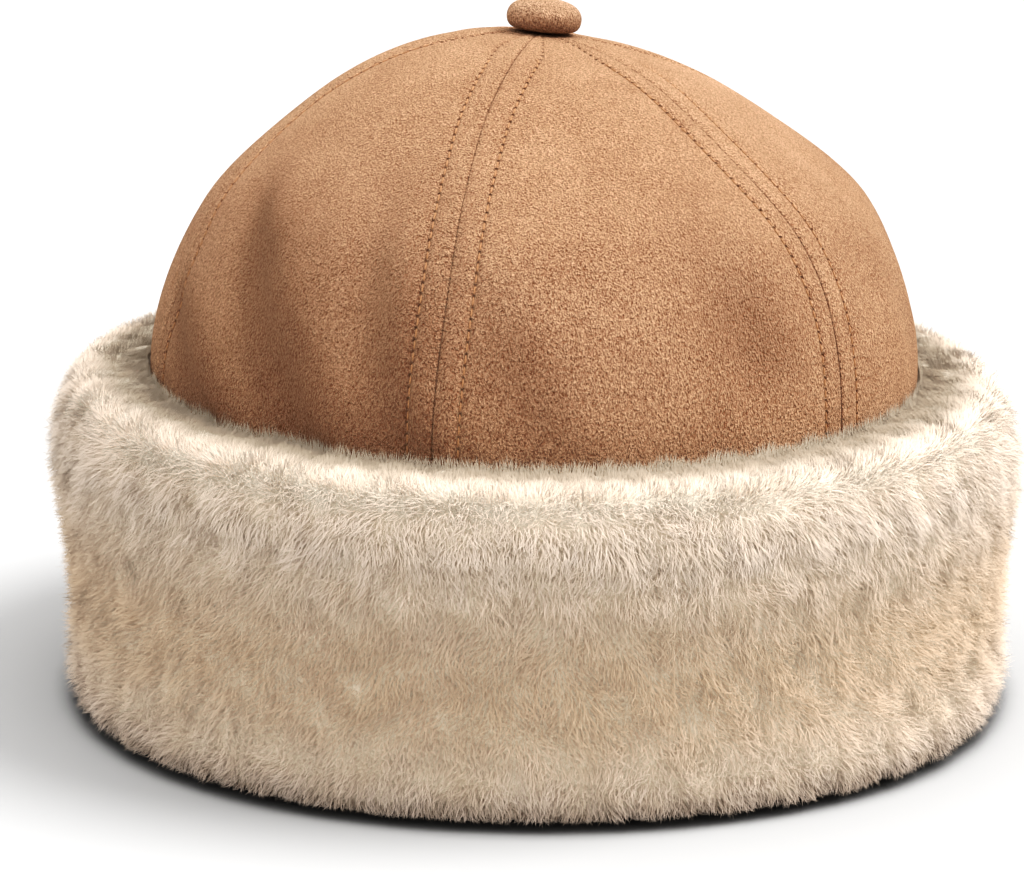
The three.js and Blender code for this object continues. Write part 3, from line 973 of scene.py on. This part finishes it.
class Nodes:
    """A node tree, with short ways to add and link what a material here needs."""

    def __init__(self, tree):
        self.tree = tree

    def add(self, kind, inputs=None, **settings):
        made = self.tree.nodes.new(kind)
        for name, value in settings.items():
            setattr(made, name, value)
        for name, value in (inputs or {}).items():
            self.feed(made.inputs[name], value)
        return made

    def feed(self, socket, value):
        if isinstance(value, bpy.types.NodeSocket):
            self.tree.links.new(value, socket)
        else:
            socket.default_value = value

    def math(self, operation, a, b=0.0, clamp=False):
        made = self.add("ShaderNodeMath", {0: a, 1: b}, operation=operation, use_clamp=clamp)
        return made.outputs[0]

    def remap(self, value, from_low, from_high, to_low=0.0, to_high=1.0, smooth=False):
        inputs = {"Value": value, "From Min": from_low, "From Max": from_high}
        inputs.update({"To Min": to_low, "To Max": to_high})
        made = self.add("ShaderNodeMapRange", inputs)
        made.interpolation_type = "SMOOTHSTEP" if smooth else "LINEAR"
        return made.outputs["Result"]

    def mix(self, share, a, b):
        made = self.add("ShaderNodeMix", data_type="RGBA")
        self.feed(made.inputs["Factor"], share)
        self.feed(made.inputs[6], a)
        self.feed(made.inputs[7], b)
        return made.outputs[2]

    def noise(self, vector, scale, detail=2.0, roughness=0.5, distortion=0.0):
        inputs = {"Vector": vector, "Scale": scale, "Detail": detail}
        inputs.update({"Roughness": roughness, "Distortion": distortion})
        return self.add("ShaderNodeTexNoise", inputs).outputs["Fac"]

    def attribute(self, name):
        return self.add("ShaderNodeAttribute", attribute_name=name).outputs["Fac"]


def nap_group():
    """The brushed nap of suede: its colour between two shades, and the height of its grain."""
    tree = bpy.data.node_groups.new("suede nap", "ShaderNodeTree")
    for name in ("Dark", "Light"):
        tree.interface.new_socket(name, in_out="INPUT", socket_type="NodeSocketColor")
    tree.interface.new_socket("Contrast", in_out="INPUT", socket_type="NodeSocketFloat")
    tree.interface.new_socket("Color", in_out="OUTPUT", socket_type="NodeSocketColor")
    tree.interface.new_socket("Height", in_out="OUTPUT", socket_type="NodeSocketFloat")
    nodes = Nodes(tree)
    given = nodes.add("NodeGroupInput")
    result = nodes.add("NodeGroupOutput")
    place = nodes.add("ShaderNodeTexCoord").outputs["Object"]
    brushed = nodes.add("ShaderNodeMapping", {"Vector": place})
    brushed.inputs["Rotation"].default_value = (0.5, 0.6, 0.3)
    brushed.inputs["Scale"].default_value = (1.0, 1.0, 0.6)
    fine = nodes.noise(brushed.outputs[0], 4400, 1, 0.5, 0.3)
    grain = nodes.noise(brushed.outputs[0], 2500, 1, 0.5, 0.4)
    strokes = nodes.noise(place, 60, 3, 0.6, 0.5)
    patches = nodes.noise(place, 17, 2, 0.5)
    grains = nodes.math("ADD", nodes.math("MULTIPLY", fine, 0.3), nodes.math("MULTIPLY", grain, 0.7))
    spread = nodes.math("MULTIPLY", nodes.math("SUBTRACT", grains, 0.5), given.outputs["Contrast"])
    brush = nodes.math("MULTIPLY", nodes.math("SUBTRACT", strokes, 0.5), 0.35)
    patch = nodes.math("MULTIPLY", nodes.math("SUBTRACT", patches, 0.5), 0.4)
    share = nodes.math("ADD", nodes.math("ADD", spread, brush), nodes.math("ADD", patch, 0.5), clamp=True)
    colour = nodes.mix(share, given.outputs["Dark"], given.outputs["Light"])
    nodes.feed(result.inputs["Color"], colour)
    nodes.feed(result.inputs["Height"], grains)
    return tree


def new_material(name):
    material = bpy.data.materials.new(name)
    material.use_nodes = True
    nodes = Nodes(material.node_tree)
    shader = material.node_tree.nodes["Principled BSDF"]
    return material, nodes, shader


def set_sheen(shader, weight, roughness, tint):
    shader.inputs["Sheen Weight"].default_value = weight
    shader.inputs["Sheen Roughness"].default_value = roughness
    shader.inputs["Sheen Tint"].default_value = tint


def add_bump(nodes, shader, height, distance):
    bump = nodes.add("ShaderNodeBump", {"Height": height})
    bump.inputs["Distance"].default_value = distance
    bump.inputs["Strength"].default_value = 1.0
    nodes.feed(shader.inputs["Normal"], bump.outputs["Normal"])


def suede_material(nap):
    """Suede of the crown, with needle holes beside the stitches and small gathers at the seams.
    Its colour takes painted shade along the seams, in the needle holes, in the folds, at the foot
    and over the lower crown.
    """
    material, nodes, shader = new_material("suede")
    group = nodes.add("ShaderNodeGroup", node_tree=nap)
    group.inputs["Dark"].default_value = linear(SUEDE_DARK)
    group.inputs["Light"].default_value = linear(SUEDE_LIGHT)
    group.inputs["Contrast"].default_value = 2.4

    from_seam = nodes.attribute("from_seam")
    along = nodes.attribute("along_seam")
    from_line = nodes.math("ABSOLUTE", nodes.math("SUBTRACT", from_seam, TOPSTITCH_OFFSET))
    on_line = nodes.remap(from_line, 0.55, 0.15, smooth=True)
    phase = nodes.math("FRACT", nodes.math("DIVIDE", along, STITCH_PITCH))
    from_hole = nodes.math("ABSOLUTE", nodes.math("SUBTRACT", phase, 0.5))
    hole = nodes.math("MULTIPLY", on_line, nodes.remap(from_hole, 0.2, 0.08, smooth=True))

    squeezed = nodes.math("MULTIPLY", from_seam, 0.22)
    creases_at = nodes.add("ShaderNodeCombineXYZ", {"X": squeezed, "Y": along})
    creases = nodes.noise(creases_at.outputs[0], 0.55, 2, 0.6)
    near_seam = nodes.remap(from_seam, 3.2, 0.6, smooth=True)
    gathers = nodes.math("MULTIPLY", nodes.math("MULTIPLY", creases, near_seam), 1.1)

    place = nodes.add("ShaderNodeTexCoord").outputs["Object"]
    level = nodes.add("ShaderNodeSeparateXYZ", {0: place}).outputs["Z"]
    # Painted shade in each seam's valley, deeper lower down
    painted_seam_shade = nodes.remap(from_seam, 0.5, 0.05, 0.0, 0.62, smooth=True)
    painted_seam_shade = nodes.math("MULTIPLY", painted_seam_shade, nodes.remap(level, 0.14, 0.105, 0.3, 1.0))
    # Painted shade in the folds, at the foot, in patches and over the lower crown
    painted_darkening = nodes.math("MULTIPLY", nodes.attribute("painted_shade"), 0.58)
    # Painted shade in the needle holes
    painted_hole_shade = nodes.math("MULTIPLY", hole, 0.8)
    darker = nodes.math("MAXIMUM", nodes.math("MAXIMUM", painted_seam_shade, painted_hole_shade), painted_darkening)
    colour = nodes.mix(darker, group.outputs["Color"], linear(SUEDE_PAINTED_SHADE))
    nodes.feed(shader.inputs["Base Color"], colour)

    height = nodes.math("ADD", group.outputs["Height"], gathers)
    height = nodes.math("SUBTRACT", height, nodes.math("MULTIPLY", hole, 0.5))
    add_bump(nodes, shader, height, 2.5 * MM)
    shader.inputs["Roughness"].default_value = 0.95
    shader.inputs["Specular IOR Level"].default_value = 0.15
    set_sheen(shader, 0.42, 0.35, linear(SUEDE_SHEEN))
    return material


def button_material(nap):
    """Suede of the button, its grain stronger than the crown's and painted shade on its underside."""
    material, nodes, shader = new_material("button suede")
    group = nodes.add("ShaderNodeGroup", node_tree=nap)
    group.inputs["Dark"].default_value = linear(BUTTON_DARK)
    group.inputs["Light"].default_value = linear(BUTTON_LIGHT)
    group.inputs["Contrast"].default_value = 2.8
    place = nodes.add("ShaderNodeTexCoord").outputs["Object"]
    level = nodes.add("ShaderNodeSeparateXYZ", {0: place}).outputs["Z"]
    # Painted shade on the underside
    painted_shade_below = nodes.remap(level, 0.1665, 0.1615, 0.0, 0.5, smooth=True)
    colour = nodes.mix(painted_shade_below, group.outputs["Color"], linear(BUTTON_PAINTED_UNDERSIDE_SHADE))
    nodes.feed(shader.inputs["Base Color"], colour)
    add_bump(nodes, shader, group.outputs["Height"], 2.2 * MM)
    shader.inputs["Roughness"].default_value = 0.95
    shader.inputs["Specular IOR Level"].default_value = 0.15
    set_sheen(shader, 0.4, 0.5, linear(BUTTON_SHEEN))
    return material


def thread_material():
    """Waxed thread, with the turn of its ply."""
    material, nodes, shader = new_material("thread")
    place = nodes.add("ShaderNodeTexCoord").outputs["Object"]
    ply = nodes.noise(place, 2600, 2, 0.6)
    colour = nodes.mix(ply, linear(THREAD_DARK), linear(THREAD_LIGHT))
    nodes.feed(shader.inputs["Base Color"], colour)
    add_bump(nodes, shader, ply, 0.1 * MM)
    shader.inputs["Roughness"].default_value = 0.6
    set_sheen(shader, 0.2, 0.4, linear(THREAD_SHEEN))
    return material


def pile_material():
    """Plush strands: cream, with painted shade at the crest that offsets the light from above, tanner
    in the middle of the band, partly as painted shade under the bulge, and painted shade at their
    roots by the foot, each a little different."""
    material, nodes, shader = new_material("plush pile")
    tip = nodes.attribute("tip")
    shade = nodes.attribute("shade")
    place = nodes.attribute("place")
    rise = nodes.math("POWER", tip, 0.7)
    body = nodes.mix(rise, linear(PILE_ROOT), linear(PILE_TIP))
    # Painted shade at the crest, which offsets the light from above
    crest = nodes.remap(place, 0.76, 0.86, smooth=True)
    body = nodes.mix(nodes.math("MULTIPLY", crest, 0.95), body, linear(PILE_PAINTED_CREST_SHADE))
    # Tanner in the middle of the band: partly the pile's own tan, partly painted shade in the waist
    below = nodes.remap(place, 0.68, 0.36, smooth=True)
    above = nodes.remap(place, 0.04, 0.32, smooth=True)
    waist_tan_and_shade = nodes.math("MULTIPLY", nodes.math("MULTIPLY", below, above), 0.66)
    tan_and_shade_mix = nodes.mix(waist_tan_and_shade, body, linear(PILE_WAIST_TAN_AND_SHADE))
    varied = nodes.remap(shade, -1.2, 1.2, 0.0, 1.0)
    worn = nodes.math("MULTIPLY", nodes.math("SUBTRACT", 1.0, varied), 0.3)
    colour = nodes.mix(worn, tan_and_shade_mix, linear(PILE_WORN))
    # Painted shade at the roots near the floor
    near_foot = nodes.remap(place, 0.16, 0.05)
    painted_foot_shade = nodes.math("MULTIPLY", near_foot, nodes.math("SUBTRACT", 1.0, tip))
    colour = nodes.mix(nodes.math("MULTIPLY", painted_foot_shade, 0.9), colour, linear(PILE_PAINTED_FOOT_SHADE))
    nodes.feed(shader.inputs["Base Color"], colour)
    # Both sides of a strand are lit as the pile that it stands in
    stand = nodes.add("ShaderNodeAttribute", attribute_name="stand").outputs["Vector"]
    nodes.feed(shader.inputs["Normal"], stand)
    shader.inputs["Roughness"].default_value = 0.7
    shader.inputs["Specular IOR Level"].default_value = 0.2
    set_sheen(shader, 0.2, 0.5, linear(PILE_SHEEN))
    return material


def ground_material():
    """The knitted ground that shows between the strands, darker at the crest."""
    material, nodes, shader = new_material("plush ground")
    place = nodes.add("ShaderNodeTexCoord").outputs["Object"]
    fuzz = nodes.noise(place, 900, 3, 0.6)
    patches = nodes.noise(place, 90, 2, 0.5)
    share = nodes.math("MULTIPLY", nodes.math("ADD", fuzz, patches), 0.5)
    colour = nodes.mix(share, linear(GROUND_DARK), linear(GROUND_LIGHT))
    height = nodes.add("ShaderNodeSeparateXYZ", {0: place}).outputs["Z"]
    crest = nodes.remap(height, 0.066, 0.073, smooth=True)
    colour = nodes.mix(crest, colour, linear(GROUND_CREST))
    nodes.feed(shader.inputs["Base Color"], colour)
    add_bump(nodes, shader, fuzz, 0.6 * MM)
    shader.inputs["Roughness"].default_value = 0.95
    set_sheen(shader, 0.2, 0.5, linear(GROUND_SHEEN))
    return material


def floor_material():
    """White paper, which throws less light back at the cap than it shows to the camera. It is
    darker close under the cap."""
    material, nodes, shader = new_material("studio floor")
    seen = nodes.add("ShaderNodeLightPath").outputs["Is Camera Ray"]
    paper = nodes.mix(seen, FLOOR_BOUNCE, FLOOR_SEEN)
    openness = nodes.add("ShaderNodeAmbientOcclusion", {"Distance": CONTACT_REACH}, samples=8)
    open_share = nodes.remap(
        openness.outputs["AO"], *CONTACT_FADES_OVER, CONTACT_LEFT, 1.0, smooth=True
    )
    paper = nodes.mix(open_share, BLACK, paper)
    nodes.feed(shader.inputs["Base Color"], paper)
    shader.inputs["Roughness"].default_value = 1
    shader.inputs["Specular IOR Level"].default_value = 0
    return material


# The studio


def make_camera():
    data = bpy.data.cameras.new("camera")
    data.sensor_width = 36
    data.lens = CAMERA_LENS
    data.clip_start = 0.01
    data.clip_end = 50
    camera = bpy.data.objects.new("camera", data)
    pitch = Matrix.Rotation(math.radians(90 - CAMERA_PITCH), 4, "X")
    roll = Matrix.Rotation(math.radians(CAMERA_ROLL), 4, "Z")
    camera.matrix_world = Matrix.Translation(CAMERA_PLACE) @ pitch @ roll
    bpy.context.scene.collection.objects.link(camera)
    bpy.context.scene.camera = camera


def make_floor():
    bm = bmesh.new()
    bmesh.ops.create_grid(bm, x_segments=1, y_segments=1, size=FLOOR_HALF_SIZE)
    floor = to_object(bm, "floor", floor_material())


def add_soft_light(name, comes_from, spread, strength):
    """A large far light: spread is how wide it looks from the cap, in degrees."""
    data = bpy.data.lights.new(name, "SUN")
    data.angle = math.radians(spread)
    data.energy = strength
    light = bpy.data.objects.new(name, data)
    light.rotation_euler = Vector(comes_from).to_track_quat("Z", "Y").to_euler()
    bpy.context.scene.collection.objects.link(light)


def make_world():
    """White all round for the camera. As a light it is brighter above."""
    world = bpy.data.worlds.new("studio")
    world.use_nodes = True
    bpy.context.scene.world = world
    nodes = Nodes(world.node_tree)
    background = world.node_tree.nodes["Background"]
    heading = nodes.add("ShaderNodeTexCoord").outputs["Generated"]
    upward = nodes.add("ShaderNodeSeparateXYZ", {0: heading}).outputs["Z"]
    glow = nodes.math("ADD", nodes.math("MULTIPLY", upward, GLOW_FROM_ABOVE), GLOW_LEVEL)
    seen = nodes.add("ShaderNodeLightPath").outputs["Is Camera Ray"]
    nodes.feed(background.inputs["Strength"], nodes.remap(seen, 0, 1, glow, 1.0))
    background.inputs["Color"].default_value = WHITE


def contrast_curve(view):
    """The soft contrast of a camera's picture: deeper darks, with the lights as they are."""
    view.use_curve_mapping = True
    curve = view.curve_mapping.curves[3]
    for level, shown in CONTRAST:
        curve.points.new(level, shown)
    view.curve_mapping.update()


def make_studio():
    make_floor()
    make_world()
    add_soft_light("key", KEY_FROM, KEY_SPREAD, KEY_STRENGTH)
    scene = bpy.context.scene
    scene.view_settings.view_transform = "Standard"
    scene.view_settings.look = "None"
    scene.cycles.diffuse_bounces = 8
    contrast_curve(scene.view_settings)


# The cap


def make_cap():
    rng = np.random.default_rng(RANDOM_SEED)
    nap = nap_group()
    suede = suede_material(nap)
    outline = CuffOutline()
    make_panels(suede)
    make_stitches(thread_material())
    make_button(button_material(nap))
    make_ground(outline, rng, ground_material())
    make_pile(outline, rng, pile_material())


make_camera()
make_studio()
make_cap()
